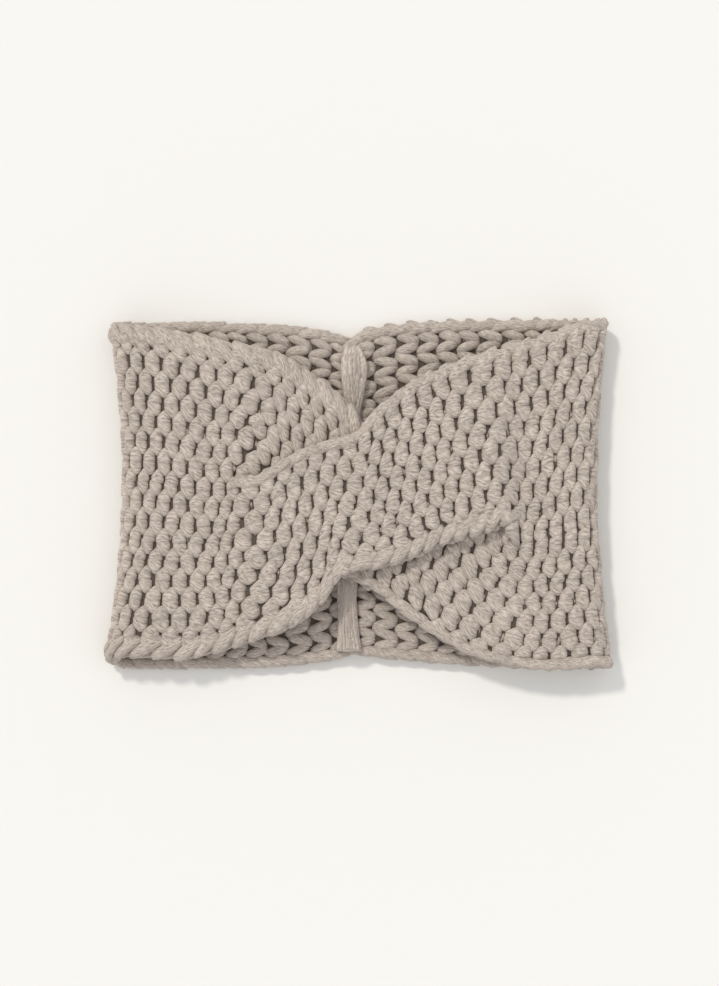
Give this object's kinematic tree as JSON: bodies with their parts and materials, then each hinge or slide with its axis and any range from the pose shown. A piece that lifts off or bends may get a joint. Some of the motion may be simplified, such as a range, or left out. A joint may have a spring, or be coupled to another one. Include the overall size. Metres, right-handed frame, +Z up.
{
  "type": "ear warmer headband",
  "caption": "Chunky knitted headband that warms the ears: a wide ribbed loop with a cable-like crossing at the front, lying flat.",
  "frame": {"origin": "bottom centre of the bounding box, on the surface that the headband lies on", "axes": "+X along the flat loop's width from fold to fold, +Y across the strip towards its top edge, +Z up through the front wall that carries the crossing"},
  "size_m": [0.2391, 0.1631, 0.0253],
  "materials": {
    "knit_yarn": "soft matte chunky wool-blend yarn, beige-grey",
    "seam_yarn": "felted matte roll of the same yarn"
  },
  "bodies": {
    "root": {"knit_band": "knit_yarn", "back_seam": "seam_yarn"}
  },
  "joints": []
}
